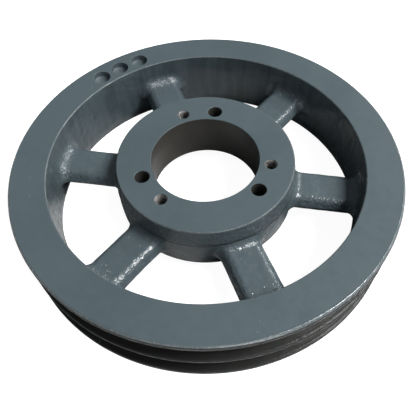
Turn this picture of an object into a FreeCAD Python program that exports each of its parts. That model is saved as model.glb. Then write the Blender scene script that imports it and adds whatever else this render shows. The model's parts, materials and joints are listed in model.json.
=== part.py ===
import FreeCAD, Part
import math
import os

# Two-groove V-belt pulley: one iron casting with a rim, six arms and a hub bored for a taper bushing.
# Millimetres. The axis is Z and the origin is on it, halfway between the two rim faces.
# +Z points to the front, the side with the balance holes. Arm 1 lies along +X.

INCH = 25.4
FIT = 1e-4  # how near a point lies to a surface that it belongs to
SAMPLES = 5  # points looked at along an edge
SEAM_ANGLE = 30.0  # turned faces start and end between two arms

# Rim
OUTER_R = 9.75 * INCH / 2
FACE_WIDTH = 1.75 * INCH
FRONT_Z = FACE_WIDTH / 2
REAR_Z = -FACE_WIDTH / 2
INNER_R = 100.2  # the inner wall is straight under the grooves and drafted outwards past them
INNER_FRONT_R = 100.5
INNER_REAR_R = 101.9
RIM_CHAMFER = 1.3
INNER_CHAMFER = 0.5

# Belt grooves, for a belt 17 mm wide at its top
GROOVE_PITCH = 0.75 * INCH
GROOVE_TOP_WIDTH = 0.65 * INCH
GROOVE_DEPTH = 0.58 * INCH
GROOVE_ANGLE = 38.0
LAND_BREAK = 0.4
GROOVE_SLOPE = math.tan(math.radians(GROOVE_ANGLE / 2))
BOTTOM_R = OUTER_R - GROOVE_DEPTH
GROOVE_Z = GROOVE_PITCH / 2
GROOVE_BOTTOM_WIDTH = GROOVE_TOP_WIDTH - 2 * GROOVE_DEPTH * GROOVE_SLOPE
BAND_HALF_WIDTH = GROOVE_Z + GROOVE_BOTTOM_WIDTH / 2  # the flanges start at the grooves' outer corners

# Arms. The mould parts across their widest place.
ARM_COUNT = 6
ARM_TOP_Z = 4.7
ARM_THICKNESS = 12.8
ARM_BOTTOM_Z = ARM_TOP_Z - ARM_THICKNESS
PARTING_Z = ARM_TOP_Z - ARM_THICKNESS / 2
ARM_FACE_WIDTH = 20.6
ARM_WIDTH = 27.8
ARM_EDGE_RADIUS = 5.5
ARM_SIDE_RADIUS = 2.0
HUB_ROOT_RADIUS = 5.2  # above the parting line
HUB_LOW_ROOT_RADIUS = 3.1  # under the arms, where there is less wall to meet
RIM_ROOT_RADIUS = 7.5
RIM_LOW_ROOT_RADIUS = 4.4
ARM_START_R = 65.5  # the arms' own nodes run between these radii, clear of both root fillets
ARM_END_R = 91.5

# Hub
HUB_LENGTH = 1.3125 * INCH
HUB_RECESS = 1.0  # the hub's front face lies this far below the rim's
HUB_FRONT_Z = FRONT_Z - HUB_RECESS
HUB_REAR_Z = HUB_FRONT_Z - HUB_LENGTH
HUB_R = 58.7  # the hub's side is straight round the arms and drafted above them
HUB_FRONT_R = 57.2
HUB_DRAFT_Z = 9.0
HUB_CHAMFER = 0.7

# Tapered bore, open widest at the rear: 3/4 inch per foot on the diameter
BORE_REAR_R = 2.8125 * INCH / 2
BORE_TAPER = 0.75 / 12
BORE_FRONT_R = BORE_REAR_R - HUB_LENGTH * BORE_TAPER / 2
BORE_REAR_CHAMFER = 0.8
BORE_FRONT_CHAMFER = 0.3

# Screw holes through the hub, three plain and three tapped 5/16-18, on one circle
SCREW_CIRCLE_R = 3.3125 * INCH / 2
SCREW_COUNT = 3
PLAIN_R = 0.375 * INCH / 2
PLAIN_BREAK = 0.3
PLAIN_FIRST_ANGLE = 90.0
TAPPED_R = 0.257 * INCH / 2  # the tap drill, which is the thread's crest
TAPPED_MOUTH_R = 4.2
TAPPED_FIRST_ANGLE = 0.0

# Blind balance holes drilled in the front rim face
BALANCE_CIRCLE_R = 110.2
BALANCE_ANGLES = (126.5, 134.8, 143.1)
BALANCE_R = 0.5 * INCH / 2
BALANCE_DEPTH = 4.0
DRILL_POINT_ANGLE = 118.0


def point(radius, z):
    """A point of a turned profile, in the XZ plane."""
    return FreeCAD.Vector(radius, 0, z)


def turned(outline):
    """The solid that a closed outline of (radius, z) corners makes when turned about Z."""
    corners = [point(radius, z) for radius, z in outline]
    face = Part.Face(Part.makePolygon(corners + corners[:1]))
    face.rotate(FreeCAD.Vector(0, 0, 0), FreeCAD.Vector(0, 0, 1), SEAM_ANGLE)
    return face.revolve(FreeCAD.Vector(0, 0, 0), FreeCAD.Vector(0, 0, 1), 360)


def one_solid(shape):
    """The single solid of a boolean result, with its split faces joined."""
    solids = shape.removeSplitter().Solids
    if len(solids) != 1:
        raise ValueError("expected one solid and found %d" % len(solids))
    return solids[0]


def around(shape, count, first_angle=0.0):
    """Copies of a shape spaced evenly about Z."""
    copies = []
    for i in range(count):
        copy = shape.copy()
        copy.rotate(FreeCAD.Vector(0, 0, 0), FreeCAD.Vector(0, 0, 1), first_angle + i * 360.0 / count)
        copies.append(copy)
    return copies


def groove_wall_z(radius, groove_z, side):
    """Height of one wall of a groove, where side is 1 for its front wall and -1 for its rear wall."""
    half_width = GROOVE_TOP_WIDTH / 2 - (OUTER_R - radius) * GROOVE_SLOPE
    return groove_z + side * half_width


def broken_land_edge(groove_z, side):
    """The two corners that break the edge between a groove wall and its land, from the land inwards."""
    edge_z = groove_wall_z(OUTER_R, groove_z, side)
    wall_r = OUTER_R - LAND_BREAK
    return [(OUTER_R, edge_z + side * LAND_BREAK), (wall_r, groove_wall_z(wall_r, groove_z, side))]


def front_flange():
    """The front end of the rim: its machined face, the front groove's outer wall and the balance holes."""
    outline = [
        (INNER_FRONT_R, FRONT_Z - INNER_CHAMFER),
        (INNER_FRONT_R + INNER_CHAMFER, FRONT_Z),
        (OUTER_R - RIM_CHAMFER, FRONT_Z),
        (OUTER_R, FRONT_Z - RIM_CHAMFER),
        *broken_land_edge(GROOVE_Z, 1),
        (BOTTOM_R, BAND_HALF_WIDTH),
        (INNER_R, BAND_HALF_WIDTH),
    ]
    return one_solid(turned(outline).cut(balance_holes()))


def rear_flange():
    """The rear end of the rim: its machined face and the rear groove's outer wall."""
    outline = [
        (INNER_REAR_R, REAR_Z + INNER_CHAMFER),
        (INNER_REAR_R + INNER_CHAMFER, REAR_Z),
        (OUTER_R - RIM_CHAMFER, REAR_Z),
        (OUTER_R, REAR_Z + RIM_CHAMFER),
        *broken_land_edge(-GROOVE_Z, -1),
        (BOTTOM_R, -BAND_HALF_WIDTH),
        (INNER_R, -BAND_HALF_WIDTH),
    ]
    return one_solid(turned(outline))


def middle_rib():
    """The rib between the two grooves."""
    root_z = GROOVE_Z - GROOVE_BOTTOM_WIDTH / 2
    upper = [(BOTTOM_R, root_z), *reversed(broken_land_edge(GROOVE_Z, -1))]
    lower = [*broken_land_edge(-GROOVE_Z, 1), (BOTTOM_R, -root_z)]
    return one_solid(turned(upper + lower))


def balance_holes():
    """Cutters for the blind holes: a drilled cylinder with a conical floor."""
    point_length = BALANCE_R / math.tan(math.radians(DRILL_POINT_ANGLE / 2))
    floor_z = FRONT_Z - BALANCE_DEPTH
    outline = [
        (0, floor_z - point_length),
        (BALANCE_R, floor_z),
        (BALANCE_R, FRONT_Z + 1),
        (0, FRONT_Z + 1),
    ]
    drill = turned(outline)
    drill.translate(FreeCAD.Vector(BALANCE_CIRCLE_R, 0, 0))
    cutters = [around(drill, 1, angle)[0] for angle in BALANCE_ANGLES]
    return Part.makeCompound(cutters)


def arm_bar(start, end):
    """A straight bar of the arm's section along +X, rounded along its edges."""
    half_face = ARM_FACE_WIDTH / 2
    half_width = ARM_WIDTH / 2
    corners = [
        FreeCAD.Vector(start, half_face, ARM_TOP_Z),
        FreeCAD.Vector(start, half_width, PARTING_Z),
        FreeCAD.Vector(start, half_face, ARM_BOTTOM_Z),
        FreeCAD.Vector(start, -half_face, ARM_BOTTOM_Z),
        FreeCAD.Vector(start, -half_width, PARTING_Z),
        FreeCAD.Vector(start, -half_face, ARM_TOP_Z),
    ]
    face = Part.Face(Part.makePolygon(corners + corners[:1]))
    bar = face.extrude(FreeCAD.Vector(end - start, 0, 0))
    bar = bar.makeFillet(ARM_EDGE_RADIUS, [e for e in bar.Edges if is_along_x(e) and not is_at_parting(e)])
    return bar.makeFillet(ARM_SIDE_RADIUS, [e for e in bar.Edges if is_along_x(e) and is_at_parting(e)])


def is_along_x(edge):
    ends = [v.Point for v in edge.Vertexes]
    return len(ends) == 2 and abs(ends[0].y - ends[1].y) < FIT and abs(ends[0].z - ends[1].z) < FIT


def is_at_parting(edge):
    return abs(edge.CenterOfMass.z - PARTING_Z) < FIT


def lies_on(edge, shell):
    """True if the edge runs along the shell's surface."""
    points = edge.discretize(SAMPLES)
    return all(shell.distToShape(Part.Vertex(p))[0] < FIT for p in points)


def arm_direction(place):
    """The direction along the arm nearest to a point."""
    step = 2 * math.pi / ARM_COUNT
    angle = round(math.atan2(place.y, place.x) / step) * step
    return FreeCAD.Vector(math.cos(angle), math.sin(angle), 0)


def runs_anticlockwise(edge):
    """True if the edge's curve goes anticlockwise round its arm, looking from the rim to the hub."""
    middle = (edge.FirstParameter + edge.LastParameter) / 2
    place = edge.valueAt(middle)
    outward = arm_direction(place)
    centre = outward * place.dot(outward) + FreeCAD.Vector(0, 0, PARTING_Z)
    return (place - centre).cross(edge.tangentAt(middle)).dot(outward) > 0


def root_fillets(shape, roots, radius, low_radius):
    """The shape with its roots filleted, the radius changing over the arms' lower sides."""
    sizes = []
    directions = {}
    for number, edge in enumerate(shape.Edges, start=1):
        if not any(edge.isSame(root) for root in roots):
            continue
        ends = [edge.valueAt(edge.FirstParameter), edge.valueAt(edge.LastParameter)]
        # every root is one closed chain, followed the way that its first edge runs
        chain = tuple(round(c) for c in arm_direction(ends[0]) * ARM_COUNT)
        if runs_anticlockwise(edge) != directions.setdefault(chain, runs_anticlockwise(edge)):
            ends.reverse()
        is_high = [end.z > PARTING_Z - ARM_SIDE_RADIUS for end in ends]
        sizes.append((number, *[radius if high else low_radius for high in is_high]))
    document = FreeCAD.newDocument()
    plain = document.addObject("Part::Feature", "plain")
    plain.Shape = shape
    filleted = document.addObject("Part::Fillet", "filleted")
    filleted.Base = plain
    filleted.Edges = sizes
    document.recompute()
    return filleted.Shape


def with_arm_roots(body, start, end, radius, low_radius):
    """The body joined to a stub of every arm, with a fillet all round each root."""
    stubs = around(arm_bar(start, end), ARM_COUNT)
    joined = one_solid(body.multiFuse(stubs))
    stub_shell = Part.makeCompound([s.Shells[0] for s in stubs])
    roots = [e for e in joined.Edges if lies_on(e, stub_shell) and lies_on(e, body.Shells[0])]
    return root_fillets(joined, roots, radius, low_radius)


def arm():
    """Arm 1, between the two root fillets, with its ends cut to cylinders about the axis."""
    margin = 10.0
    bar = arm_bar(ARM_START_R - margin, ARM_END_R + margin)
    span = 2 * ARM_THICKNESS
    outer = Part.makeCylinder(ARM_END_R, span, FreeCAD.Vector(0, 0, PARTING_Z - span / 2))
    inner = Part.makeCylinder(ARM_START_R, span, FreeCAD.Vector(0, 0, PARTING_Z - span / 2))
    return one_solid(bar.common(outer).cut(inner))


def rim_band():
    """The ring under the grooves, with its inner wall and the outer roots of the arms."""
    outline = [
        (INNER_R, BAND_HALF_WIDTH),
        (BOTTOM_R, BAND_HALF_WIDTH),
        (BOTTOM_R, -BAND_HALF_WIDTH),
        (INNER_R, -BAND_HALF_WIDTH),
    ]
    margin = 4.0
    start, end = ARM_END_R - margin, BOTTOM_R - margin
    band = with_arm_roots(turned(outline), start, end, RIM_ROOT_RADIUS, RIM_LOW_ROOT_RADIUS)
    span = 2 * FACE_WIDTH
    inside = Part.makeCylinder(ARM_END_R, span, FreeCAD.Vector(0, 0, -span / 2))
    return one_solid(band.cut(inside))


def bore_cutter():
    """The tapered bore with a chamfer at each end, run past both hub faces."""
    past = 1.0
    slope = BORE_TAPER / 2
    outline = [
        (0, HUB_FRONT_Z + past),
        (BORE_FRONT_R + BORE_FRONT_CHAMFER + past, HUB_FRONT_Z + past),
        (BORE_FRONT_R + slope * BORE_FRONT_CHAMFER, HUB_FRONT_Z - BORE_FRONT_CHAMFER),
        (BORE_REAR_R - slope * BORE_REAR_CHAMFER, HUB_REAR_Z + BORE_REAR_CHAMFER),
        (BORE_REAR_R + BORE_REAR_CHAMFER + past, HUB_REAR_Z - past),
        (0, HUB_REAR_Z - past),
    ]
    return turned(outline)


def screw_hole_cutters(radius, mouth_radius, first_angle):
    """Through holes parallel to the axis, each with the same chamfer at both mouths."""
    past = 1.0
    mouth = mouth_radius - radius
    outline = [
        (0, HUB_FRONT_Z + past),
        (mouth_radius + past, HUB_FRONT_Z + past),
        (radius, HUB_FRONT_Z - mouth),
        (radius, HUB_REAR_Z + mouth),
        (mouth_radius + past, HUB_REAR_Z - past),
        (0, HUB_REAR_Z - past),
    ]
    drill = turned(outline)
    drill.translate(FreeCAD.Vector(SCREW_CIRCLE_R, 0, 0))
    return around(drill, SCREW_COUNT, first_angle)


def hub():
    """The hub with the inner roots of the arms, its tapered bore and six screw holes."""
    outline = [
        (0, HUB_FRONT_Z),
        (HUB_FRONT_R - HUB_CHAMFER, HUB_FRONT_Z),
        (HUB_FRONT_R, HUB_FRONT_Z - HUB_CHAMFER),
        (HUB_R, HUB_DRAFT_Z),
        (HUB_R, HUB_REAR_Z + HUB_CHAMFER),
        (HUB_R - HUB_CHAMFER, HUB_REAR_Z),
        (0, HUB_REAR_Z),
    ]
    margin = 4.0
    start, end = HUB_FRONT_R - margin, ARM_START_R + margin
    body = with_arm_roots(turned(outline), start, end, HUB_ROOT_RADIUS, HUB_LOW_ROOT_RADIUS)
    span = 2 * FACE_WIDTH
    body = body.common(Part.makeCylinder(ARM_START_R, span, FreeCAD.Vector(0, 0, -span / 2)))
    plain = screw_hole_cutters(PLAIN_R, PLAIN_R + PLAIN_BREAK, PLAIN_FIRST_ANGLE)
    tapped = screw_hole_cutters(TAPPED_R, TAPPED_MOUTH_R, TAPPED_FIRST_ANGLE)
    return one_solid(body.cut([bore_cutter(), *plain, *tapped]))


def main():
    parts = {
        "front_flange": front_flange(),
        "middle_rib": middle_rib(),
        "rear_flange": rear_flange(),
        "rim_band": rim_band(),
        "hub": hub(),
    }
    for number, copy in enumerate(around(arm(), ARM_COUNT), start=1):
        parts["arm_%d" % number] = copy
    os.makedirs("parts", exist_ok=True)
    for name, shape in parts.items():
        shape.exportStep("parts/%s.step" % name)
        print("%-14s %10.1f mm3" % (name, shape.Volume))


main()
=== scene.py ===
import json
import math

import bmesh
import bpy
import numpy as np
from mathutils import Matrix, Vector, geometry, noise


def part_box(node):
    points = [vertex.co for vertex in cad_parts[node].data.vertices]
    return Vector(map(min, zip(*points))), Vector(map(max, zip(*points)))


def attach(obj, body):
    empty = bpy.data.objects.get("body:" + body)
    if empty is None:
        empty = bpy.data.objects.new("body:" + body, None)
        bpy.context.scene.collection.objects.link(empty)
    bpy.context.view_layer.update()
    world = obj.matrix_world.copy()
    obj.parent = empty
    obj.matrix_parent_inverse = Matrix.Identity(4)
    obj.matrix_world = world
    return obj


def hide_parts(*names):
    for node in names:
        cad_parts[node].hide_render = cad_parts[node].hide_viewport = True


# Two-groove V-belt pulley: a painted iron casting, machined on its faces, rim, grooves and bore.
# Each CAD node is replaced by a detailed mesh of the same region of the casting.
# Lengths are millimetres until a mesh, light or camera is made, and angles are degrees.

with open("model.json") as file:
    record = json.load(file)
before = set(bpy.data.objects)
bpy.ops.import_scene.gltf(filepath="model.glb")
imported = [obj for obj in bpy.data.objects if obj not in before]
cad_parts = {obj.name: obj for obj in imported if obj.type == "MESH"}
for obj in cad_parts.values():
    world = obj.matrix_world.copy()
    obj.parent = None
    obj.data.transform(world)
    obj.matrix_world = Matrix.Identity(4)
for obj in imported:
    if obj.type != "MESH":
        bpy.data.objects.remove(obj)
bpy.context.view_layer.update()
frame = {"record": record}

MM = 0.001


def node_box(node):
    """Lowest and highest corner of a CAD node, in millimetres."""
    low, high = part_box(node)
    return low / MM, high / MM


def mount_dims(name):
    """The dimensions of one of the record's mounts."""
    return next(m["dims"] for m in frame["record"]["mounts"] if m["name"] == name)


# Rim, from the frame
FLANGE_LOW, FLANGE_HIGH = node_box("front_flange")
OUTER_R = FLANGE_HIGH.x
FRONT_Z = FLANGE_HIGH.z
REAR_Z = node_box("rear_flange")[0].z
BAND_HALF_WIDTH = FLANGE_LOW.z
BOTTOM_R = node_box("rim_band")[1].x
RIB_HALF_ROOT = node_box("middle_rib")[1].z

# Rim, as the CAD has it
INNER_R = 100.2
INNER_FRONT_R = 100.5
INNER_REAR_R = 101.9
RIM_CHAMFER = 1.3
RIM_SOFTNESS = 0.25  # how gently the inner wall's draft begins, as a share of its length
INNER_CHAMFER = 0.5
LAND_BREAK = 0.4
GROOVE_ANGLE = 38
GROOVE_SLOPE = math.tan(math.radians(GROOVE_ANGLE / 2))
LAND_HALF_WIDTH = RIB_HALF_ROOT - (OUTER_R - BOTTOM_R) * GROOVE_SLOPE
FLANGE_EDGE_Z = BAND_HALF_WIDTH + (OUTER_R - BOTTOM_R) * GROOVE_SLOPE

# Arms
ARM_COUNT = 6
ARM_LOW, ARM_HIGH = node_box("arm_1")
ARM_TOP_Z = ARM_HIGH.z
ARM_BOTTOM_Z = ARM_LOW.z
PARTING_Z = (ARM_TOP_Z + ARM_BOTTOM_Z) / 2
ARM_HALF_FACE = 10.3
ARM_HALF_WIDTH = 13.9
ARM_EDGE_RADIUS = 5.5
ARM_SIDE_RADIUS = 2.0
ARM_START_X = ARM_LOW.x
ARM_END_X = ARM_HIGH.x
HUB_ROOT_RADII = (3.1, 5.2)  # under the arms, and from their parting line upwards
RIM_ROOT_RADII = (4.4, 7.5)
LOW_ROOT_Z = ARM_BOTTOM_Z + ARM_EDGE_RADIUS / 2  # each root's radius grows between these heights
HIGH_ROOT_Z = PARTING_Z - ARM_SIDE_RADIUS / 2

# Hub
HUB_LOW, HUB_HIGH = node_box("hub")
HUB_FRONT_Z = HUB_HIGH.z
HUB_REAR_Z = HUB_LOW.z
HUB_R = 58.7
HUB_FRONT_R = 57.2
HUB_REAR_R = 58.3
HUB_DRAFT_Z = 9.0
HUB_FRONT_SOFTNESS = 0.04  # the same for the hub's side, above the arms and below them
HUB_REAR_SOFTNESS = 0.08
HUB_CHAMFER = 0.7
BORE_REAR_R = 35.719
BORE_FRONT_R = 34.677
BORE_REAR_CHAMFER = 0.8
BORE_FRONT_CHAMFER = 0.3

# Screw holes, alternately tapped (in line with arms 1, 3 and 5) and plain
SCREW_CIRCLE_R = mount_dims("plain_screw_holes")["pcd_mm"] / 2
PLAIN_R = mount_dims("plain_screw_holes")["hole_r_mm"]
PLAIN_ANGLES = (90, 210, 330)
PLAIN_BREAK = 0.3
THREAD_CREST_R = mount_dims("tapped_screw_holes")["hole_r_mm"]
THREAD_ROOT_R = 3.9
THREAD_PITCH = 25.4 / 18
THREAD_STEPS = 6  # rows to each turn of the thread
THREAD_FLANK = 2.3  # 2 would make a plain zigzag, and more is steeper
THREAD_FLATS = 1.15  # the zigzag is this much too high and is cut off, which leaves flat crests and roots
TAPPED_MOUTH_R = 4.2
TAPPED_ANGLES = (0, 120, 240)

# Balance holes
BALANCE_CIRCLE_R = 110.2
BALANCE_ANGLES = (126.5, 134.8, 143.1)
BALANCE_R = 6.35
BALANCE_DEPTH = 4.0
BALANCE_BREAK = 0.25
DRILL_POINT_ANGLE = 118
DRILL_SLOPE = 1 / math.tan(math.radians(DRILL_POINT_ANGLE / 2))

# Meshing
SEGMENTS = 720  # columns round the axis
SECTOR = SEGMENTS // ARM_COUNT  # columns to each arm
SIDE = 32  # rows up each side of an arm's sector
AROUND_ARM = 2 * (SECTOR + SIDE)
HOLE_SEGMENTS = 48
ARC_STEPS = 16  # points along each rounded edge of an arm's section
ARM_ROWS = 32  # rows along an arm
WALL_ROWS = 13  # rows up the inner wall of each flange
HUB_ROOT_ROWS = (2, 11, 15)  # rows along an arm's stub, over its root, and from there to the sector's edge
RIM_ROOT_ROWS = (2, 16, 24)
EDGE_ROUND = 0.2  # paint rounds every machined edge a little
EDGE_STEPS = 4
RIM_ROUND = 0.7  # the rim's outer edges are rounder
RIM_STEPS = 6
LAND_ROUND = 0.15
MOUTH_ROUND = 0.1  # the mouths of the bore and of the plain holes are sharper
MOUTH_STEPS = 2
HOLD = 0.25  # a narrow strip beside each rounded edge keeps the flat beyond it flat
MOUTH_STRIP = 0.2  # that strip round the plain holes and the bore, which nearly meet at the hub's rear
SHOULDER = 1.0  # a flat seam face meets the uneven inner wall over this width
SEAM_STRIP = 0.05  # next to a seam both pieces run straight for this far, so that they shade alike
SEAM_REACH = 8 * SEAM_STRIP  # and this far from it they are back to their own shapes
SHARP_ANGLE = 40  # edges that bend more than this are shaded as sharp
WELD = 5e-6  # metres
SAME_POINT = 1e-6  # millimetres

# Cast skin
RELIEF_HEIGHT = 0.22
RELIEF_LENGTH = 13.0
RELIEF_DIMENSION = 0.75
RELIEF_LACUNARITY = 2.3
RELIEF_OCTAVES = 3
RELIEF_FADE = 1.5  # the relief dies out over this distance from a machined edge

# Paint and bare iron
LIP_DEPTH = 0.2  # paint reaches this far down into a bare hole
WEAR_CORNERS = (  # the radius of each front corner whose paint is thin, and how far the wear reaches
    (OUTER_R - RIM_CHAMFER / 2, RIM_CHAMFER / 2),
    (INNER_FRONT_R + 0.2, 0.45),
    (HUB_FRONT_R - 0.4, 0.45),
)
PAINT_DEEP = (0.037, 0.0505, 0.0562)
PAINT_PALE = (0.042, 0.057, 0.0633)
PAINT_DUSTY = (0.058, 0.0715, 0.078)
# painted shade for the rim's inner wall, and also the colour of the stains on the hub's side
PAINTED_SHADE_AND_STAIN = (0.022, 0.031, 0.034)
# warm painted shade: for the rim's outside, where it also stands for a reflection of a warm floor, and for
# the line on the hub's side
PAINTED_WARM_SHADE = (0.0115, 0.012, 0.010)
# painted shade, nearly black, for the belt grooves
PAINTED_GROOVE_SHADE = (0.005, 0.0052, 0.004)
# pale nibs: painted glints, standing for the sparkle on small nodules
PAINTED_GLINT = (0.17, 0.20, 0.21)
BARE_EDGE = (0.15, 0.15, 0.15)
BORE_OILED = (0.026, 0.0245, 0.0215)
BORE_DRY = (0.034, 0.0325, 0.0295)
BORE_MARK = (0.015, 0.014, 0.012)
HOLE_DARK = (0.018, 0.018, 0.017)
HOLE_PALE = (0.05, 0.048, 0.044)
THREAD_BRIGHT = (0.16, 0.156, 0.15)
THREAD_DULL = (0.026, 0.024, 0.022)

# Camera, measured from the middle of the rim's front face
CAMERA_AZIMUTH = 11.2
CAMERA_ELEVATION = 54.73
CAMERA_ROLL = -2.6
CAMERA_DISTANCE = 2.2278 * OUTER_R
AIM_RIGHT = 0.0033 * OUTER_R
AIM_NEAR = 0.3263 * OUTER_R
SENSOR_WIDTH = 36
LENS = 40.637
CLIP_START = 0.01  # metres

# Floor and light, in metres and watts
FLOOR_REACH = 4.0
FLOOR_GAP = 0.0001  # the floor lies just clear of the rear rim face
FLOOR_GREY = (0.2, 0.2, 0.2, 1)
FLOOR_GLOW = 0.95
LIGHTS = (  # name, azimuth, elevation, distance, size, power
    ("key", -8, 54, 3.5, (1.4, 1.1), 264),
    ("top", -46, 56, 3.0, (0.35, 0.25), 9),
    ("low", 20, 36, 2.4, (0.5, 0.3), 18),
    ("back", 50, 23, 2.4, (0.6, 0.2), 18),
    ("fill", -75, 20, 3.5, (1.6, 1.0), 32),
)
ROOM_COLOUR = (0.9, 0.95, 1, 1)
ROOM_STRENGTH = 0.27


def smooth(t):
    """0 to 1 with no slope at either end."""
    t = np.clip(t, 0, 1)
    return t * t * (3 - 2 * t)


def soft_ramp(t, softness):
    """0 to 1, straight except for a rounded start."""
    t = np.clip(t, 0, None)
    return (np.sqrt(t * t + softness**2) - softness) / (math.sqrt(1 + softness**2) - softness)


def rim_inner_radius(z):
    """The inner wall: straight under the grooves, opening towards both rim faces."""
    z = np.asarray(z, float)
    front = soft_ramp((z - BAND_HALF_WIDTH) / (FRONT_Z - INNER_CHAMFER - BAND_HALF_WIDTH), RIM_SOFTNESS)
    rear = soft_ramp((z + BAND_HALF_WIDTH) / (REAR_Z + INNER_CHAMFER + BAND_HALF_WIDTH), RIM_SOFTNESS)
    return INNER_R + (INNER_FRONT_R - INNER_R) * front + (INNER_REAR_R - INNER_R) * rear


def hub_radius(z):
    """The hub's side, straight round the arms and drafted above and below them."""
    z = np.asarray(z, float)
    front = soft_ramp((z - HUB_DRAFT_Z) / (HUB_FRONT_Z - HUB_CHAMFER - HUB_DRAFT_Z), HUB_FRONT_SOFTNESS)
    rear = soft_ramp((z - PARTING_Z) / (HUB_REAR_Z + HUB_CHAMFER - PARTING_Z), HUB_REAR_SOFTNESS)
    return HUB_R - (HUB_R - HUB_FRONT_R) * front - (HUB_R - HUB_REAR_R) * rear


def rounded(corners, radius=EDGE_ROUND, steps=EDGE_STEPS):
    """An open outline through (r, z) corners, each inner one replaced by a small curve."""
    corners = [np.array(c, float) for c in corners]
    points = [corners[0]]
    for before, corner, after in zip(corners, corners[1:], corners[2:]):
        into = (before - corner) / np.linalg.norm(before - corner)
        out = (after - corner) / np.linalg.norm(after - corner)
        for t in np.linspace(0, 1, steps + 1):
            points.append(corner + radius * ((1 - t) ** 2 * into + t**2 * out))
    points.append(corners[-1])
    return points


def turned(cut, angles, centre=(0, 0)):
    """Rows of points: each (r, z) of a profile swept through the angles about an upright axis."""
    cut = np.array(cut, float)
    rows = np.empty((len(cut), len(angles), 3))
    rows[:, :, 0] = centre[0] + np.outer(cut[:, 0], np.cos(angles))
    rows[:, :, 1] = centre[1] + np.outer(cut[:, 0], np.sin(angles))
    rows[:, :, 2] = cut[:, 1][:, None]
    return rows


def angles_round(count):
    """Evenly spaced angles, in radians, all the way round."""
    return np.linspace(0, 2 * math.pi, count, endpoint=False)


def on_circle(radius, degrees):
    """The (x, y) of a point on a circle about the axis."""
    return (radius * math.cos(math.radians(degrees)), radius * math.sin(math.radians(degrees)))


def held(distance):
    """0 within a seam strip and the distance itself a little further off, with a smooth change."""
    return distance * smooth((np.abs(distance) - SEAM_STRIP) / (SEAM_REACH - SEAM_STRIP))


def hold_at_seams(values, seams):
    """The coordinate, made constant next to each seam."""
    for seam in seams:
        near = np.abs(values - seam) < SEAM_REACH
        values = np.where(near, seam + held(values - seam), values)
    return values


def relief(points, edges):
    """Height of the cast skin's unevenness at each point, dying out towards machined edges at these z."""
    flat = points.reshape(-1, 3).copy()
    flat[:, 2] = hold_at_seams(flat[:, 2], (-BAND_HALF_WIDTH, BAND_HALF_WIDTH))
    kind = (RELIEF_DIMENSION, RELIEF_LACUNARITY, RELIEF_OCTAVES)
    heights = [noise.fractal(Vector(p), *kind) for p in flat / RELIEF_LENGTH]
    heights = np.array(heights).reshape(points.shape[:-1])
    fade = np.ones(points.shape[:-1])
    for edge in edges:
        fade *= smooth(np.abs(points[..., 2] - edge) / RELIEF_FADE)
    return RELIEF_HEIGHT * heights * fade


def turn(points, degrees):
    """Points turned about the axis."""
    c, s = math.cos(math.radians(degrees)), math.sin(math.radians(degrees))
    return points @ np.array([[c, s, 0], [-s, c, 0], [0, 0, 1]])


class Piece:
    """A closed mesh put together from patches, whose edges are welded where they meet."""

    def __init__(self):
        self.mesh = bmesh.new()
        self.finishes = []

    def finish_index(self, finish):
        """The finish's place among the object's materials."""
        if finish not in self.finishes:
            self.finishes.append(finish)
        return self.finishes.index(finish)

    def add(self, points, faces, finishes):
        """Faces over the points, in one finish or in a list of one for each face."""
        verts = [self.mesh.verts.new(p) for p in np.asarray(points, float).reshape(-1, 3) * MM]
        if isinstance(finishes, str):
            finishes = [finishes] * len(faces)
        for corners, finish in zip(faces, finishes):
            face = self.mesh.faces.new([verts[i] for i in corners])
            face.material_index = self.finish_index(finish)
            face.smooth = True

    def grid(self, rows, finish):
        """A patch of quads, closed on itself along each row, in one finish or one for each pair of rows."""
        count, around = rows.shape[:2]
        strips = [finish] * (count - 1) if isinstance(finish, str) else finish
        faces, finishes = [], []
        for i, strip in enumerate(strips):
            for j in range(around):
                k = (j + 1) % around
                faces.append((i * around + j, i * around + k, (i + 1) * around + k, (i + 1) * around + j))
                finishes.append(strip)
        self.add(rows, faces, finishes)

    def ring(self, cut, finish, segments=SEGMENTS, centre=(0, 0)):
        """A turned patch."""
        self.grid(turned(cut, angles_round(segments), centre), finish)

    def cap(self, loop, finish):
        """One flat face across a loop."""
        self.add(loop, [range(len(loop))], finish)

    def level(self, z, outer_r, inner_r, holes, finish):
        """A flat ring about the axis at height z, with round holes given as (centre, radius)."""
        loops = [turned([(r, z)], angles_round(SEGMENTS))[0] for r in (outer_r, inner_r)]
        loops += [turned([(r, z)], angles_round(HOLE_SEGMENTS), c)[0] for c, r in holes]
        points, edges = [], []
        for loop in loops:
            first = len(points)
            points += [Vector(p[:2]) for p in loop]
            edges += [(first + i, first + (i + 1) % len(loop)) for i in range(len(loop))]
        flat, _, faces, _, _, _ = geometry.delaunay_2d_cdt(points, edges, [], 1, SAME_POINT)
        kept = []
        for face in faces:
            middle = sum((flat[i] for i in face), Vector((0, 0))) / len(face)
            in_hole = any((middle - Vector(c)).length < r for c, r in holes)
            if middle.length > inner_r and not in_hole:
                kept.append(face)
        self.add([(p.x, p.y, z) for p in flat], kept, finish)

    def finished(self, name, node, materials):
        """The welded object, standing for its CAD node."""
        bmesh.ops.remove_doubles(self.mesh, verts=self.mesh.verts, dist=WELD)
        # two sectors that meet can leave a sliver of no width hanging from their common side
        slivers = [f for f in self.mesh.faces if any(e.is_boundary for e in f.edges)]
        bmesh.ops.delete(self.mesh, geom=slivers, context="FACES")
        loose = [v for v in self.mesh.verts if not v.link_faces]
        bmesh.ops.delete(self.mesh, geom=loose, context="VERTS")
        bmesh.ops.recalc_face_normals(self.mesh, faces=self.mesh.faces)
        data = bpy.data.meshes.new(name)
        self.mesh.to_mesh(data)
        self.mesh.free()
        data.set_sharp_from_angle(angle=math.radians(SHARP_ANGLE))
        for finish in self.finishes:
            data.materials.append(materials[finish])
        piece = bpy.data.objects.new(name, data)
        bpy.context.scene.collection.objects.link(piece)
        weighted = piece.modifiers.new("even_shading", "WEIGHTED_NORMAL")
        weighted.keep_sharp = True
        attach(piece, "root")
        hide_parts(node)


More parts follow.
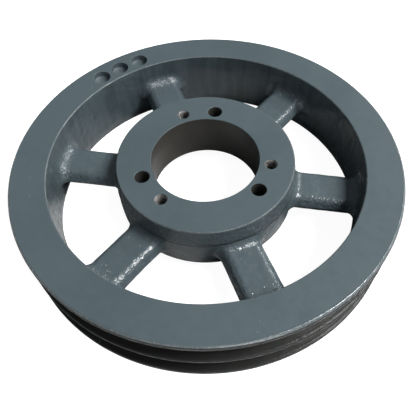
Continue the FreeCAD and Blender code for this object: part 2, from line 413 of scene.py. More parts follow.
def arm_section():
    """Evenly spaced (y, z) points round an arm, anticlockwise from below its +Y side, and their normals."""
    half = [(ARM_HALF_WIDTH, PARTING_Z), (ARM_HALF_FACE, ARM_TOP_Z), (-ARM_HALF_FACE, ARM_TOP_Z)]
    half = [np.array(c) for c in half]
    turned_half = [np.array((-y, 2 * PARTING_Z - z)) for y, z in half]
    corners = half + turned_half
    radii = [ARM_SIDE_RADIUS, ARM_EDGE_RADIUS, ARM_EDGE_RADIUS] * 2
    outline = []
    for i, (corner, radius) in enumerate(zip(corners, radii)):
        into = corners[i - 1] - corner
        out = corners[(i + 1) % len(corners)] - corner
        into, out = into / np.linalg.norm(into), out / np.linalg.norm(out)
        half_angle = math.acos(np.clip(into @ out, -1, 1)) / 2
        bisector = (into + out) / np.linalg.norm(into + out)
        centre = corner + bisector * radius / math.sin(half_angle)
        start_y, start_z = corner + into * radius / math.tan(half_angle) - centre
        start = math.atan2(start_z, start_y)
        sweep = math.pi - 2 * half_angle
        for t in np.linspace(0, 1, ARC_STEPS + 1):
            angle = start + sweep * t
            outline.append(centre + radius * np.array((math.cos(angle), math.sin(angle))))
    outline = np.array(outline)
    # the first point is where the outline is widest, halfway along the first arc
    outline = np.roll(outline, -ARC_STEPS // 2, axis=0)
    closed = np.vstack([outline, outline[:1]])
    length = np.concatenate([[0], np.cumsum(np.linalg.norm(np.diff(closed, axis=0), axis=1))])
    even = (np.arange(AROUND_ARM) - SIDE / 2) / AROUND_ARM * length[-1]
    even = np.mod(even, length[-1])
    points = np.column_stack([np.interp(even, length, closed[:, k]) for k in (0, 1)])
    tangent = np.roll(points, -1, axis=0) - np.roll(points, 1, axis=0)
    normals = np.column_stack([tangent[:, 1], -tangent[:, 0]])
    return points, normals / np.linalg.norm(normals, axis=1)[:, None]


SECTION, SECTION_NORMALS = arm_section()


def sector_edge(low, high):
    """(angle, z) round the edge of one arm's sector of a wall, point for point with the arm's section."""
    half = math.radians(180 / ARM_COUNT)
    up = np.linspace(low, high, SIDE, endpoint=False)
    down = np.linspace(high, low, SIDE, endpoint=False)
    across = np.linspace(half, -half, SECTOR, endpoint=False)
    angle = np.concatenate([np.full(SIDE, half), across, np.full(SIDE, -half), -across])
    z = np.concatenate([up, np.full(SECTOR, high), down, np.full(SECTOR, low)])
    return angle, z


def root_rows(wall_radius, side, seam_x, root_radii, low, high, counts):
    """Rows of points, and their outward directions, from arm 1's cut end to the edge of its sector.

    side is 1 where the arm leaves the wall outwards and -1 where it leaves it inwards.
    """
    tube_count, root_count, wall_count = counts
    section_y, section_z = SECTION[:, 0], SECTION[:, 1]
    across, along = SECTION_NORMALS[:, 0], SECTION_NORMALS[:, 1]
    grown = smooth((section_z - LOW_ROOT_Z) / (HIGH_ROOT_Z - LOW_ROOT_Z))
    radius = root_radii[0] + (root_radii[1] - root_radii[0]) * grown
    zeros = np.zeros(AROUND_ARM)
    arm_out = np.column_stack([zeros, across, along])

    def at(y, z, height):
        x = np.sqrt(wall_radius(z) ** 2 - y**2) + side * height
        return np.column_stack([x, y, z])

    def wall_out(y, z):
        angle = np.arcsin(y / wall_radius(z))
        return side * np.column_stack([np.cos(angle), np.sin(angle), zeros])

    rows, outs = [], []
    top = at(section_y, section_z, radius)
    seam = np.column_stack([np.full(AROUND_ARM, seam_x), section_y, section_z])
    strip = seam + np.array((-side * SEAM_STRIP, 0, 0))
    rows.append(seam)
    outs.append(arm_out)
    for t in np.linspace(0, 1, tube_count, endpoint=False):
        rows.append(strip + (top - strip) * t)
        outs.append(arm_out)
    for turned_by in np.linspace(math.pi / 2, 0, root_count, endpoint=False):
        reach = radius * (1 - math.sin(turned_by))
        y, z = section_y + across * reach, section_z + along * reach
        rows.append(at(y, z, radius * (1 - math.cos(turned_by))))
        out = math.sin(turned_by) * arm_out + math.cos(turned_by) * wall_out(y, z)
        outs.append(out / np.linalg.norm(out, axis=1)[:, None])
    foot_y, foot_z = section_y + across * radius, section_z + along * radius
    foot_angle = np.arcsin(foot_y / wall_radius(foot_z))
    edge_angle, edge_z = sector_edge(low, high)
    strip_z = np.clip(edge_z, low + SEAM_STRIP, high - SEAM_STRIP)
    steps = [(t, strip_z) for t in np.linspace(0, 1, wall_count)] + [(1.0, edge_z)]
    for t, end_z in steps:
        angle = foot_angle + (edge_angle - foot_angle) * t
        z = foot_z + (end_z - foot_z) * t
        wall = wall_radius(z)
        rows.append(np.column_stack([wall * np.cos(angle), wall * np.sin(angle), z]))
        outs.append(side * np.column_stack([np.cos(angle), np.sin(angle), zeros]))
    return np.array(rows), np.array(outs)


def add_sectors(piece, rows, outs, seam_x, edges):
    """One cast patch round each arm, with relief, and the flat cut end of the arm's stub."""
    held_rows = rows.copy()
    held_rows[..., 0] = hold_at_seams(rows[..., 0], (seam_x,))
    for i in range(ARM_COUNT):
        degrees = i * 360 / ARM_COUNT
        height = relief(turn(held_rows, degrees), edges)
        shaped = turn(rows, degrees) + turn(outs, degrees) * height[..., None]
        piece.grid(shaped, "cast")
        piece.cap(shaped[0], "cast")


def hub_face(piece, z, inward, side_r, mouth_r):
    """One face of the hub with its chamfer, from the hub's side to the bore, round all six screw holes."""
    face_r = side_r - HUB_CHAMFER
    outer_r, inner_r = face_r - HOLD - EDGE_ROUND, mouth_r + MOUTH_STRIP
    holes = [(on_circle(SCREW_CIRCLE_R, a), PLAIN_R + PLAIN_BREAK + MOUTH_STRIP) for a in PLAIN_ANGLES]
    holes += [(on_circle(SCREW_CIRCLE_R, a), TAPPED_MOUTH_R + HOLD) for a in TAPPED_ANGLES]
    piece.ring(rounded([(side_r, z + inward * HUB_CHAMFER), (face_r, z), (outer_r, z)]), "machined")
    piece.level(z, outer_r, inner_r, holes, "machined")


def bore(piece, front_mouth_r, rear_mouth_r):
    """The tapered bore, with a chamfer at each end."""
    cut = [
        (front_mouth_r + MOUTH_STRIP, HUB_FRONT_Z),
        (front_mouth_r, HUB_FRONT_Z),
        (BORE_FRONT_R, HUB_FRONT_Z - BORE_FRONT_CHAMFER),
        (BORE_REAR_R, HUB_REAR_Z + BORE_REAR_CHAMFER),
        (rear_mouth_r, HUB_REAR_Z),
        (rear_mouth_r + MOUTH_STRIP, HUB_REAR_Z),
    ]
    cut = rounded(cut, MOUTH_ROUND, MOUTH_STEPS)
    piece.grid(turned(cut, angles_round(SEGMENTS)), painted_lip(cut, "bore"))


def plain_hole(piece, centre):
    """A plain screw hole, with both of its edges broken."""
    mouth = PLAIN_R + PLAIN_BREAK
    cut = [
        (mouth + MOUTH_STRIP, HUB_FRONT_Z),
        (mouth, HUB_FRONT_Z),
        (PLAIN_R, HUB_FRONT_Z - PLAIN_BREAK),
        (PLAIN_R, HUB_REAR_Z + PLAIN_BREAK),
        (mouth, HUB_REAR_Z),
        (mouth + MOUTH_STRIP, HUB_REAR_Z),
    ]
    cut = rounded(cut, MOUTH_ROUND, MOUTH_STEPS)
    piece.grid(turned(cut, angles_round(HOLE_SEGMENTS), centre), painted_lip(cut, "hole"))


def tapped_hole(piece, centre):
    """A tapped screw hole."""
    rows = thread_rows(centre)
    heights = [(0, row[0][2]) for row in rows]
    piece.grid(rows, painted_lip(heights, "thread"))


def hub_piece(materials):
    """The hub with the inner roots of the arms, its bore and its six screw holes."""
    piece = Piece()
    low, high = HUB_REAR_Z + HUB_CHAMFER, HUB_FRONT_Z - HUB_CHAMFER
    rows, outs = root_rows(hub_radius, 1, ARM_START_X, HUB_ROOT_RADII, low, high, HUB_ROOT_ROWS)
    add_sectors(piece, rows, outs, ARM_START_X, (low, high))
    front_mouth_r, rear_mouth_r = BORE_FRONT_R + BORE_FRONT_CHAMFER, BORE_REAR_R + BORE_REAR_CHAMFER
    hub_face(piece, HUB_FRONT_Z, -1, HUB_FRONT_R, front_mouth_r)
    hub_face(piece, HUB_REAR_Z, 1, HUB_REAR_R, rear_mouth_r)
    bore(piece, front_mouth_r, rear_mouth_r)
    for angle in PLAIN_ANGLES:
        plain_hole(piece, on_circle(SCREW_CIRCLE_R, angle))
    for angle in TAPPED_ANGLES:
        tapped_hole(piece, on_circle(SCREW_CIRCLE_R, angle))
    piece.finished("hub_casting", "hub", materials)


def painted_lip(cut, finish):
    """A finish for each strip of an (r, z) cut: paint where it is within LIP_DEPTH of a hub face."""
    middles = [(above[1] + below[1]) / 2 for above, below in zip(cut, cut[1:])]
    return ["machined" if min(HUB_FRONT_Z - z, z - HUB_REAR_Z) < LIP_DEPTH else finish for z in middles]


def thread_rows(centre):
    """The wall of a tapped hole: a helical groove running out into a countersink at each mouth."""
    count = round((HUB_FRONT_Z - HUB_REAR_Z) / THREAD_PITCH * THREAD_STEPS)
    angles = angles_round(HOLE_SEGMENTS)
    lip = turned([(TAPPED_MOUTH_R + HOLD, HUB_FRONT_Z)], angles, centre)
    rows = [lip[0]]
    for z in np.linspace(HUB_FRONT_Z, HUB_REAR_Z, count):
        phase = np.mod(z / THREAD_PITCH - angles / (2 * math.pi), 1)
        depth = np.clip(THREAD_FLATS - THREAD_FLANK * np.abs(phase - 0.5) * THREAD_FLATS, 0, 1)
        radius = THREAD_CREST_R + (THREAD_ROOT_R - THREAD_CREST_R) * depth
        from_mouth = min(HUB_FRONT_Z - z, z - HUB_REAR_Z)
        radius = np.maximum(radius, TAPPED_MOUTH_R - from_mouth)
        x, y = centre[0] + radius * np.cos(angles), centre[1] + radius * np.sin(angles)
        rows.append(np.column_stack([x, y, np.full(len(angles), z)]))
    lip = turned([(TAPPED_MOUTH_R + HOLD, HUB_REAR_Z)], angles, centre)
    rows.append(lip[0])
    return np.array(rows)


def rim_band_piece(materials):
    """The ring under the grooves, with the outer roots of the arms on its inner wall."""
    piece = Piece()
    low, high = -BAND_HALF_WIDTH, BAND_HALF_WIDTH
    rows, outs = root_rows(rim_inner_radius, -1, ARM_END_X, RIM_ROOT_RADII, low, high, RIM_ROOT_ROWS)
    add_sectors(piece, rows, outs, ARM_END_X, ())
    for z in (low, high):
        edge = displaced_wall(np.array([z]))[0]
        shoulder = turned([(INNER_R + SHOULDER, z), (BOTTOM_R, z)], angles_round(SEGMENTS))
        piece.grid(np.concatenate([edge[None], shoulder]), "machined")
    piece.ring([(BOTTOM_R, high), (BOTTOM_R, low)], "machined")
    piece.finished("rim_band_casting", "rim_band", materials)


def displaced_wall(heights):
    """Rows of the rim's cast inner wall at these heights."""
    rows = turned(np.column_stack([rim_inner_radius(heights), heights]), angles_round(SEGMENTS))
    out = -rows * np.array((1, 1, 0))
    out /= np.linalg.norm(out, axis=2)[..., None]
    edges = (FRONT_Z - INNER_CHAMFER, REAR_Z + INNER_CHAMFER)
    return rows + out * relief(rows, edges)[..., None]


def balance_hole(piece, centre, face_z):
    """A blind hole with the cone that a drill's point leaves."""
    floor_z = face_z - BALANCE_DEPTH
    drill = [
        (BALANCE_R + BALANCE_BREAK + HOLD, face_z),
        (BALANCE_R, face_z),
        (BALANCE_R, floor_z),
        (0, floor_z - BALANCE_R * DRILL_SLOPE),
    ]
    piece.ring(rounded(drill, BALANCE_BREAK), "drilled", HOLE_SEGMENTS, centre)


def flange_outside(piece, outer_flat, face_z, side, seam):
    """The rim's outer edge, its land, the corner of the belt groove and the groove's wall."""
    edge = [
        (outer_flat, face_z),
        (OUTER_R - RIM_CHAMFER, face_z),
        (OUTER_R, face_z - side * RIM_CHAMFER),
        (OUTER_R, (face_z + side * FLANGE_EDGE_Z) / 2),
    ]
    piece.ring(rounded(edge, RIM_ROUND, RIM_STEPS), "machined")
    outside = [
        edge[-1],
        (OUTER_R, side * (FLANGE_EDGE_Z + LAND_BREAK)),
        (OUTER_R - LAND_BREAK, side * (FLANGE_EDGE_Z - LAND_BREAK * GROOVE_SLOPE)),
        (BOTTOM_R, seam),
    ]
    piece.ring(rounded(outside, LAND_ROUND), "machined")


def flange_piece(name, node, face_z, inner_r, holes, materials):
    """One end of the rim. The front one has the balance holes."""
    piece = Piece()
    side = math.copysign(1, face_z)
    seam = side * BAND_HALF_WIDTH
    wall_end = face_z - side * INNER_CHAMFER
    heights = np.linspace(seam, wall_end, WALL_ROWS)
    heights = np.insert(heights, 1, seam + side * SEAM_STRIP)
    piece.grid(displaced_wall(heights), "cast")
    inner_flat = inner_r + INNER_CHAMFER + HOLD + EDGE_ROUND
    outer_flat = OUTER_R - RIM_CHAMFER - HOLD - RIM_ROUND
    mouth = [(inner_r, wall_end), (inner_r + INNER_CHAMFER, face_z), (inner_flat, face_z)]
    piece.ring(rounded(mouth), "machined")
    loops = [(centre, BALANCE_R + BALANCE_BREAK + HOLD) for centre in holes]
    piece.level(face_z, outer_flat, inner_flat, loops, "machined")
    for centre in holes:
        balance_hole(piece, centre, face_z)
    flange_outside(piece, outer_flat, face_z, side, seam)
    back = turned([(BOTTOM_R, seam), (INNER_R + SHOULDER, seam)], angles_round(SEGMENTS))
    piece.grid(np.concatenate([back, displaced_wall(np.array([seam]))]), "machined")
    piece.finished(name, node, materials)


def middle_rib_piece(materials):
    """The rib between the two belt grooves."""
    piece = Piece()
    wall_r = OUTER_R - LAND_BREAK
    break_z = LAND_HALF_WIDTH + LAND_BREAK * GROOVE_SLOPE
    land_z = LAND_HALF_WIDTH - LAND_BREAK
    upper = [(BOTTOM_R, RIB_HALF_ROOT), (wall_r, break_z), (OUTER_R, land_z)]
    lower = [(r, -z) for r, z in reversed(upper)]
    piece.ring(rounded(upper + lower, LAND_ROUND), "machined")
    piece.ring([(BOTTOM_R, -RIB_HALF_ROOT), (BOTTOM_R, RIB_HALF_ROOT)], "machined")
    piece.finished("middle_rib_turned", "middle_rib", materials)


def arm_piece(number, materials):
    """One arm between its two roots."""
    piece = Piece()
    degrees = (number - 1) * 360 / ARM_COUNT
    stations = np.linspace(ARM_START_X, ARM_END_X, ARM_ROWS)
    stations = np.insert(stations, [1, -1], [ARM_START_X + SEAM_STRIP, ARM_END_X - SEAM_STRIP])
    rows = np.empty((len(stations), AROUND_ARM, 3))
    rows[:, :, 0] = stations[:, None]
    rows[:, :, 1:] = SECTION
    outs = np.zeros_like(rows)
    outs[:, :, 1:] = SECTION_NORMALS
    held_rows = rows.copy()
    held_rows[..., 0] = hold_at_seams(rows[..., 0], (ARM_START_X, ARM_END_X))
    height = relief(turn(held_rows, degrees), ())
    rows = turn(rows, degrees) + turn(outs, degrees) * height[..., None]
    piece.grid(rows, "cast")
    piece.cap(rows[0], "cast")
    piece.cap(rows[-1], "cast")
    piece.finished("arm_%d_casting" % number, "arm_%d" % number, materials)


class Finish:
    """A node material whose textures are placed by the casting's own coordinates."""

    def __init__(self, name, **constants):
        self.material = bpy.data.materials.new(name)
        self.material.use_nodes = True
        self.nodes = self.material.node_tree.nodes
        self.links = self.material.node_tree.links
        self.shader = self.nodes["Principled BSDF"]
        for socket, value in constants.items():
            self.shader.inputs[socket.replace("_", " ")].default_value = value
        coordinates = self.add("TexCoord")
        self.place = coordinates.outputs["Object"]
        self.normal = coordinates.outputs["Normal"]

    def add(self, kind, inputs=(), **settings):
        """A node with its settings, and its inputs linked or set."""
        node = self.nodes.new("ShaderNode" + kind)
        for name, value in settings.items():
            setattr(node, name, value)
        for name, value in dict(inputs).items():
            if isinstance(value, bpy.types.NodeSocket):
                self.links.new(value, node.inputs[name])
            else:
                node.inputs[name].default_value = value
        return node

    def calculate(self, operation, *values):
        """The result of a Math node."""
        return self.add("Math", dict(enumerate(values)), operation=operation).outputs[0]

    def both(self, first, second):
        """Where two masks overlap, or a mask made weaker by a number."""
        return self.calculate("MULTIPLY", first, second)

    def off(self, value, middle):
        """How far the value is from a middle one, on either side."""
        return self.calculate("ABSOLUTE", self.calculate("SUBTRACT", value, middle))

    def grain(self, size, detail=2.0, rough=0.5):
        """Noise from about 0.3 to 0.7, with lumps of about this size in millimetres."""
        inputs = {"Vector": self.place, "Scale": 1 / (size * MM), "Detail": detail, "Roughness": rough}
        return self.add("TexNoise", inputs).outputs["Fac"]

    def masked_grain(self, mask, *size):
        """Noise about zero, shown only where the mask is above nothing."""
        return self.both(mask, self.calculate("SUBTRACT", self.grain(*size), 0.5))

    def span(self, value, low, high, to_low=0.0, to_high=1.0, curve="SMOOTHSTEP"):
        """The value, from low to high, mapped onto another range and held at its ends."""
        inputs = {"Value": value, "From Min": low, "From Max": high, "To Min": to_low, "To Max": to_high}
        return self.add("MapRange", inputs, interpolation_type=curve).outputs["Result"]

    def blend(self, share, first, second):
        """A colour between two others."""
        colours = [c if isinstance(c, bpy.types.NodeSocket) else (*c, 1) for c in (first, second)]
        inputs = {"Fac": share, "Color1": colours[0], "Color2": colours[1]}
        return self.add("MixRGB", inputs).outputs["Color"]

    def position(self):
        """Distance from the axis and height along it, in metres."""
        x, y, z = self.add("SeparateXYZ", {"Vector": self.place}).outputs
        squares = self.calculate("ADD", self.both(x, x), self.both(y, y))
        return self.calculate("SQRT", squares), z

    def turning_marks(self, size, detail):
        """Noise that changes only along a turned surface's profile, as a lathe tool leaves it."""
        radius, z = self.position()
        along = self.calculate("SUBTRACT", radius, self.calculate("ABSOLUTE", z))
        inputs = {"W": along, "Scale": 1 / (size * MM), "Detail": detail}
        return self.add("TexNoise", inputs, noise_dimensions="1D").outputs["Fac"]

    def bump(self, height, distance, below=None):
        """Normals from a height, whose whole range is this many millimetres."""
        inputs = {"Height": height, "Distance": distance * MM, "Strength": 1.0}
        if below is not None:
            inputs["Normal"] = below
        return self.add("Bump", inputs).outputs["Normal"]

    def finish(self, **links):
        """The material, with what varies linked to its shader."""
        for socket, value in links.items():
            self.links.new(value, self.shader.inputs[socket.replace("_", " ")])
        return self.material


def paint_colour(finish):
    """Blue-grey paint, uneven over the whole casting and in small patches."""
    broad = finish.span(finish.grain(55, 2), 0.35, 0.65)
    patchy = finish.span(finish.grain(5, 4, 0.6), 0.3, 0.7, 0.0, 0.45)
    share = finish.add("Math", {0: broad, 1: patchy}, operation="ADD", use_clamp=True).outputs[0]
    return finish.blend(share, PAINT_DEEP, PAINT_PALE)


def streak(finish, size):
    """Noise that is drawn out along the axis, with streaks of about this width in millimetres."""
    inputs = {0: finish.place, 1: (1, 1, 0.12)}
    flatter = finish.add("VectorMath", inputs, operation="MULTIPLY").outputs["Vector"]
    return finish.add("TexNoise", {"Vector": flatter, "Scale": 1 / (size * MM), "Detail": 2.0}).outputs["Fac"]


def nibs(finish, spacing, size, crowd):
    """1 on small nibs scattered in patches, where crowd is the noise level that a patch starts at."""
    scattered = finish.add("TexVoronoi", {"Vector": finish.place, "Scale": 1 / (spacing * MM)})
    near = finish.span(scattered.outputs["Distance"], size / spacing / 2, size / spacing, 1.0, 0.0)
    return finish.both(near, finish.span(finish.grain(14, 1), crowd, crowd + 0.08))


def hub_side(finish, radius, z):
    """Masks over the hub's side: its rough upper band, and the line along the band's lower edge."""
    outside_face = finish.span(radius, (HUB_FRONT_R - 1.2) * MM, (HUB_FRONT_R - 0.6) * MM)
    side = finish.both(outside_face, finish.span(radius, (HUB_R + 0.5) * MM, (HUB_R + 1.2) * MM, 1.0, 0.0))
    wander = finish.span(finish.grain(11, 2), 0.3, 0.7, -0.5 * MM, 0.5 * MM, "LINEAR")
    above = finish.calculate("SUBTRACT", finish.calculate("ADD", z, wander), HUB_DRAFT_Z * MM)
    band = finish.span(above, -0.2 * MM, 0.3 * MM)
    line = finish.span(finish.calculate("ABSOLUTE", above), 0.3 * MM, 1.1 * MM, 1.0, 0.0)
    return finish.both(side, band), finish.both(side, line)


def arm_ends(finish, radius):
    """1 on the arms towards their ends, and 0 on the walls that they meet."""
    from_middle = finish.off(radius, (HUB_R + INNER_R) / 2 * MM)
    to_walls = finish.span(from_middle, 18 * MM, 20 * MM, 1.0, 0.0)
    return finish.both(finish.span(from_middle, 6 * MM, 12 * MM), to_walls)


def rim_roots(finish, radius, facing_up):
    """1 on the arms' outer roots, where they face up."""
    at_root = finish.span(radius, (INNER_R - 10) * MM, (INNER_R - 6) * MM)
    return finish.both(at_root, finish.span(facing_up, 0.3, 0.6))


def cast_bumps(finish, radius, rough_band, line, glinting_nibs):
    """The cast skin's normals: broad waves, lumps and pimples where it is rounded, nibs and grit."""
    facing_up = finish.add("SeparateXYZ", {"Vector": finish.normal}).outputs["Z"]
    not_level = finish.span(facing_up, 0.93, 0.99, 1.0, 0.12)
    rounded_up = finish.both(finish.span(facing_up, 0.15, 0.4), not_level)
    pimpled = rim_roots(finish, radius, facing_up)
    pimpled = finish.calculate("MAXIMUM", pimpled, finish.both(rounded_up, 0.3))
    normal = finish.bump(finish.grain(6, 2), 0.3)
    normal = finish.bump(finish.masked_grain(rounded_up, 2.4, 2, 0.6), 0.6, normal)
    normal = finish.bump(finish.masked_grain(pimpled, 1.2, 2, 0.6), 0.35, normal)
    normal = finish.bump(glinting_nibs, 0.14, normal)
    normal = finish.bump(finish.masked_grain(rough_band, 1.6, 4, 0.7), 0.9, normal)
    return finish.bump(line, -0.3, normal)


def cast_colour(finish, radius, rough_band, line, glinting_nibs):
    """Dusty paint, with painted shade streaked down the rim's inner wall, stains on the hub's side, painted
    shade along the line there, and pale nibs that are painted glints.
    """
    dust = finish.span(finish.grain(2.4, 3, 0.6), 0.5, 0.72, 0.0, 0.4)
    colour = finish.blend(dust, paint_colour(finish), PAINT_DUSTY)
    # painted shade: the rim's inner wall is darkened, in streaks down it
    wall = finish.span(radius, (INNER_R - 3) * MM, (INNER_R - 1) * MM)
    streaks = finish.both(wall, finish.span(streak(finish, 5), 0.4, 0.6, 0.25, 0.7))
    colour = finish.blend(streaks, colour, PAINTED_SHADE_AND_STAIN)
    stains = finish.both(rough_band, finish.span(finish.grain(2.5, 3, 0.6), 0.45, 0.6, 0.0, 0.3))
    colour = finish.blend(stains, colour, PAINTED_SHADE_AND_STAIN)
    # painted shade along the line on the hub's side, as if in its undercut
    colour = finish.blend(finish.both(line, 0.65), colour, PAINTED_WARM_SHADE)
    # pale nibs, painted glints
    return finish.blend(finish.both(glinting_nibs, 0.4), colour, PAINTED_GLINT)


def cast_paint():
    """Paint over sand-cast iron: lumpy on its rounded edges and roots, smoother on its flats and walls."""
    finish = Finish("cast_paint", Specular_IOR_Level=0.2, Coat_Weight=0.4, Coat_Roughness=0.08)
    radius, z = finish.position()
    rough_band, line = hub_side(finish, radius, z)
    # nibs that raise the skin, and that are also painted pale as glints
    glinting_nibs = finish.both(nibs(finish, 3.4, 0.75, 0.44), arm_ends(finish, radius))
    normal = cast_bumps(finish, radius, rough_band, line, glinting_nibs)
    colour = cast_colour(finish, radius, rough_band, line, glinting_nibs)
    roughness = finish.span(finish.grain(3, 3, 0.6), 0.35, 0.65, 0.28, 0.48)
    return finish.finish(Base_Color=colour, Roughness=roughness, Normal=normal, Coat_Normal=normal)


def edge_wear(finish, radius):
    """Up to 1, unevenly, along the front corners of the rim and of the hub."""
    corners = 0.0
    for corner, reach in WEAR_CORNERS:
        away = finish.off(radius, corner * MM)
        at_corner = finish.span(away, 0.4 * reach * MM, reach * MM, 1.0, 0.0)
        corners = finish.calculate("MAXIMUM", corners, at_corner)
    return finish.both(corners, finish.span(finish.grain(1.3, 2, 0.6), 0.4, 0.65, 0.2, 1.0))


def rim_outside(finish, radius, z):
    """Masks over the rim's outside between its chamfers, where shade is painted: all of it, and its belt
    grooves.
    """
    outside = finish.span(radius, (BOTTOM_R - 1) * MM, BOTTOM_R * MM)
    chamfer_low, chamfer_high = FRONT_Z - RIM_CHAMFER, FRONT_Z - 0.6 * RIM_CHAMFER
    height = finish.calculate("ABSOLUTE", z)
    outside_shade = finish.both(outside, finish.span(height, chamfer_low * MM, chamfer_high * MM, 1.0, 0.0))
    below_land = finish.span(radius, (OUTER_R - 0.8) * MM, (OUTER_R - 0.3) * MM, 1.0, 0.0)
    return outside_shade, finish.both(outside_shade, below_land)


def machined_colour(finish, radius, rings, outside_shade, in_groove):
    """Ringed paint, with painted shade round the rim's outside, tinted warm as a painted reflection of the
    floor and nearly black in the grooves, pale nibs that are painted glints, and thin front corners.
    """
    dust = finish.span(rings, 0.3, 0.7, 0.0, 0.08)
    colour = finish.blend(dust, paint_colour(finish), PAINT_DUSTY)
    # painted shade over the rim's outside, tinted warm as a painted reflection of the floor
    colour = finish.blend(finish.both(outside_shade, 0.9), colour, PAINTED_WARM_SHADE)
    # painted shade, nearly black, down in the belt grooves
    colour = finish.blend(finish.both(in_groove, 0.7), colour, PAINTED_GROOVE_SHADE)
    # pale nibs, painted glints
    colour = finish.blend(finish.both(nibs(finish, 9, 0.7, 0.52), 0.2), colour, PAINTED_GLINT)
    thin = finish.both(edge_wear(finish, radius), finish.span(outside_shade, 0.0, 1.0, 0.45, 0.0))
    return finish.blend(thin, colour, BARE_EDGE)


def machined_paint():
    """Thin paint over turned faces, with a glossy outer edge and a dull outside round the rim."""
    finish = Finish("machined_paint", Specular_IOR_Level=0.12, Coat_Roughness=0.12)
    radius, z = finish.position()
    rings = finish.turning_marks(1.1, 3)
    edge = finish.span(radius, (OUTER_R - 2.2) * MM, (OUTER_R - 1.4) * MM, 0.1, 1.0)
    normal = finish.bump(rings, 0.012)
    normal = finish.bump(finish.both(finish.grain(1.6, 2), edge), 0.28, normal)
    outside_shade, in_groove = rim_outside(finish, radius, z)
    colour = machined_colour(finish, radius, rings, outside_shade, in_groove)
    roughness = finish.span(finish.grain(7, 4, 0.6), 0.35, 0.65, 0.36, 0.5)
    roughness = finish.calculate("ADD", roughness, finish.both(in_groove, 0.2))
    dull_outside = finish.calculate("ADD", outside_shade, in_groove)
    coat = finish.both(edge, finish.span(dull_outside, 0.0, 1.0, 0.9, 0.08))
    return finish.finish(
        Base_Color=colour,
        Roughness=roughness,
        Coat_Weight=coat,
        Normal=normal,
        Coat_Normal=normal,
    )


def drilled_paint():
    """Paint over the balance holes' walls and floors, with coarse drill marks under it."""
    finish = Finish("drilled_paint", Specular_IOR_Level=0.2, Coat_Weight=0.2, Coat_Roughness=0.2)
    dust = finish.span(finish.grain(2, 3, 0.6), 0.4, 0.65, 0.0, 0.6)
    colour = finish.blend(dust, paint_colour(finish), PAINT_DUSTY)
    roughness = finish.span(finish.grain(3, 2), 0.35, 0.65, 0.35, 0.5)
    normal = finish.bump(finish.grain(0.9, 2), 0.12)
    return finish.finish(Base_Color=colour, Roughness=roughness, Normal=normal)


def bare_bore():
    """The taper bore: bare turned iron, oiled and dulled, with fine tool marks."""
    finish = Finish("bare_bore", Specular_IOR_Level=0.2)
    marks = finish.turning_marks(0.45, 3)
    stain = finish.span(finish.grain(18, 3, 0.5), 0.3, 0.7)
    colour = finish.blend(stain, BORE_OILED, BORE_DRY)
    colour = finish.blend(finish.span(marks, 0.3, 0.7, 0.0, 0.4), colour, BORE_MARK)
    roughness = finish.span(stain, 0.0, 1.0, 0.44, 0.34)
    return finish.finish(Base_Color=colour, Roughness=roughness, Normal=finish.bump(marks, 0.03))


def bare_hole():
    """A drilled hole's wall: dark iron with drill marks."""
    finish = Finish("bare_hole", Metallic=0.4)
    _, z = finish.position()
    inputs = {"W": z, "Scale": 1 / (0.6 * MM), "Detail": 2}
    marks = finish.add("TexNoise", inputs, noise_dimensions="1D").outputs["Fac"]
    colour = finish.blend(finish.grain(2, 3), HOLE_DARK, HOLE_PALE)
    roughness = finish.span(marks, 0.3, 0.7, 0.4, 0.55)
    return finish.finish(Base_Color=colour, Roughness=roughness, Normal=finish.bump(marks, 0.05))


def bare_thread():
    """Tapped threads: bright cut iron, dulled in patches."""
    finish = Finish("bare_thread", Metallic=0.35)
    dull = finish.span(finish.grain(2.5, 3, 0.6), 0.35, 0.6)
    colour = finish.blend(dull, THREAD_BRIGHT, THREAD_DULL)
    roughness = finish.span(dull, 0.0, 1.0, 0.3, 0.5)
    normal = finish.bump(finish.grain(0.7, 2), 0.03)
    return finish.finish(Base_Color=colour, Roughness=roughness, Normal=normal)


def camera_axes():
    """Level directions to the camera's right and away from it."""
    azimuth = math.radians(CAMERA_AZIMUTH)
    right = Vector((math.cos(azimuth), math.sin(azimuth), 0))
    away = Vector((-math.sin(azimuth), math.cos(azimuth), 0))
    return right, away


def make_camera():
    """The camera looks down at the front face from close by."""
    elevation, roll = math.radians(CAMERA_ELEVATION), math.radians(CAMERA_ROLL)
    right, away = camera_axes()
    aim = right * AIM_RIGHT - away * AIM_NEAR + Vector((0, 0, FRONT_Z))
    forward = away * math.cos(elevation) - Vector((0, 0, math.sin(elevation)))
    up = right.cross(forward)
    rolled_right = right * math.cos(roll) + up * math.sin(roll)
    rolled_up = up * math.cos(roll) - right * math.sin(roll)
    data = bpy.data.cameras.new("camera")
    data.sensor_width = SENSOR_WIDTH
    data.lens = LENS
    data.clip_start = CLIP_START
    camera = bpy.data.objects.new("camera", data)
    axes = Matrix((rolled_right, rolled_up, -forward)).transposed()
    camera.matrix_world = Matrix.Translation((aim - forward * CAMERA_DISTANCE) * MM) @ axes.to_4x4()
    bpy.context.scene.collection.objects.link(camera)
    bpy.context.scene.camera = camera


def floor_paper():
    """Matt grey paper that glows white, like an overexposed background."""
    paper = bpy.data.materials.new("floor")
    paper.use_nodes = True
    shader = paper.node_tree.nodes["Principled BSDF"]
    shader.inputs["Base Color"].default_value = FLOOR_GREY
    shader.inputs["Roughness"].default_value = 0.9
    shader.inputs["Specular IOR Level"].default_value = 0.1
    shader.inputs["Emission Color"].default_value = (1, 1, 1, 1)
    shader.inputs["Emission Strength"].default_value = FLOOR_GLOW
    return paper


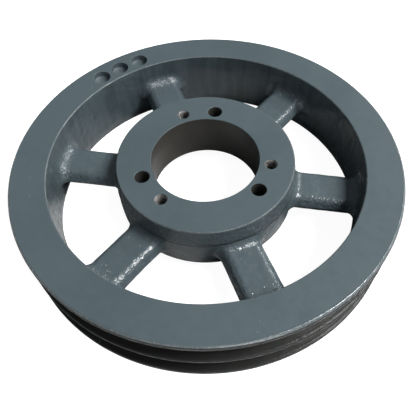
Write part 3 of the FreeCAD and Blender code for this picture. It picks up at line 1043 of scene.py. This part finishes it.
def make_stage():
    """A plain white floor under the rear rim face. Its own glow lights nothing but itself."""
    reach, z = FLOOR_REACH, REAR_Z * MM - FLOOR_GAP
    data = bpy.data.meshes.new("floor")
    corners = [(-reach, -reach, z), (reach, -reach, z), (reach, reach, z), (-reach, reach, z)]
    data.from_pydata(corners, [], [(0, 1, 2, 3)])
    data.materials.append(floor_paper())
    floor = bpy.data.objects.new("floor", data)
    bpy.context.scene.collection.objects.link(floor)
    floor.light_linking.receiver_collection = bpy.data.collections.new("lit_by_floor")
    floor.light_linking.receiver_collection.objects.link(floor)


def softbox(name, azimuth, elevation, distance, size, power):
    """A rectangular light aimed at the pulley. Azimuth turns from the camera's right to away from it."""
    right, away = camera_axes()
    azimuth, elevation = math.radians(azimuth), math.radians(elevation)
    level = right * math.cos(azimuth) + away * math.sin(azimuth)
    toward = level * math.cos(elevation) + Vector((0, 0, math.sin(elevation)))
    data = bpy.data.lights.new(name, "AREA")
    data.shape = "RECTANGLE"
    data.size, data.size_y = size
    data.energy = power
    light = bpy.data.objects.new(name, data)
    facing = toward.to_track_quat("Z", "Y").to_matrix().to_4x4()
    light.matrix_world = Matrix.Translation(toward * distance) @ facing
    bpy.context.scene.collection.objects.link(light)


def make_light():
    """A big key softbox, a wide fill, three small ones for the shine on rounded edges, and a dim room."""
    for light in LIGHTS:
        softbox(*light)
    world = bpy.data.worlds.new("room")
    world.use_nodes = True
    background = world.node_tree.nodes["Background"]
    background.inputs["Color"].default_value = ROOM_COLOUR
    background.inputs["Strength"].default_value = ROOM_STRENGTH
    bpy.context.scene.world = world
    bpy.context.scene.view_settings.view_transform = "Standard"


def main():
    materials = {
        "cast": cast_paint(),
        "machined": machined_paint(),
        "drilled": drilled_paint(),
        "bore": bare_bore(),
        "hole": bare_hole(),
        "thread": bare_thread(),
    }
    balance = [on_circle(BALANCE_CIRCLE_R, a) for a in BALANCE_ANGLES]
    flange_piece("front_flange_casting", "front_flange", FRONT_Z, INNER_FRONT_R, balance, materials)
    flange_piece("rear_flange_casting", "rear_flange", REAR_Z, INNER_REAR_R, [], materials)
    middle_rib_piece(materials)
    rim_band_piece(materials)
    hub_piece(materials)
    for number in range(1, ARM_COUNT + 1):
        arm_piece(number, materials)
    make_camera()
    make_stage()
    make_light()


main()
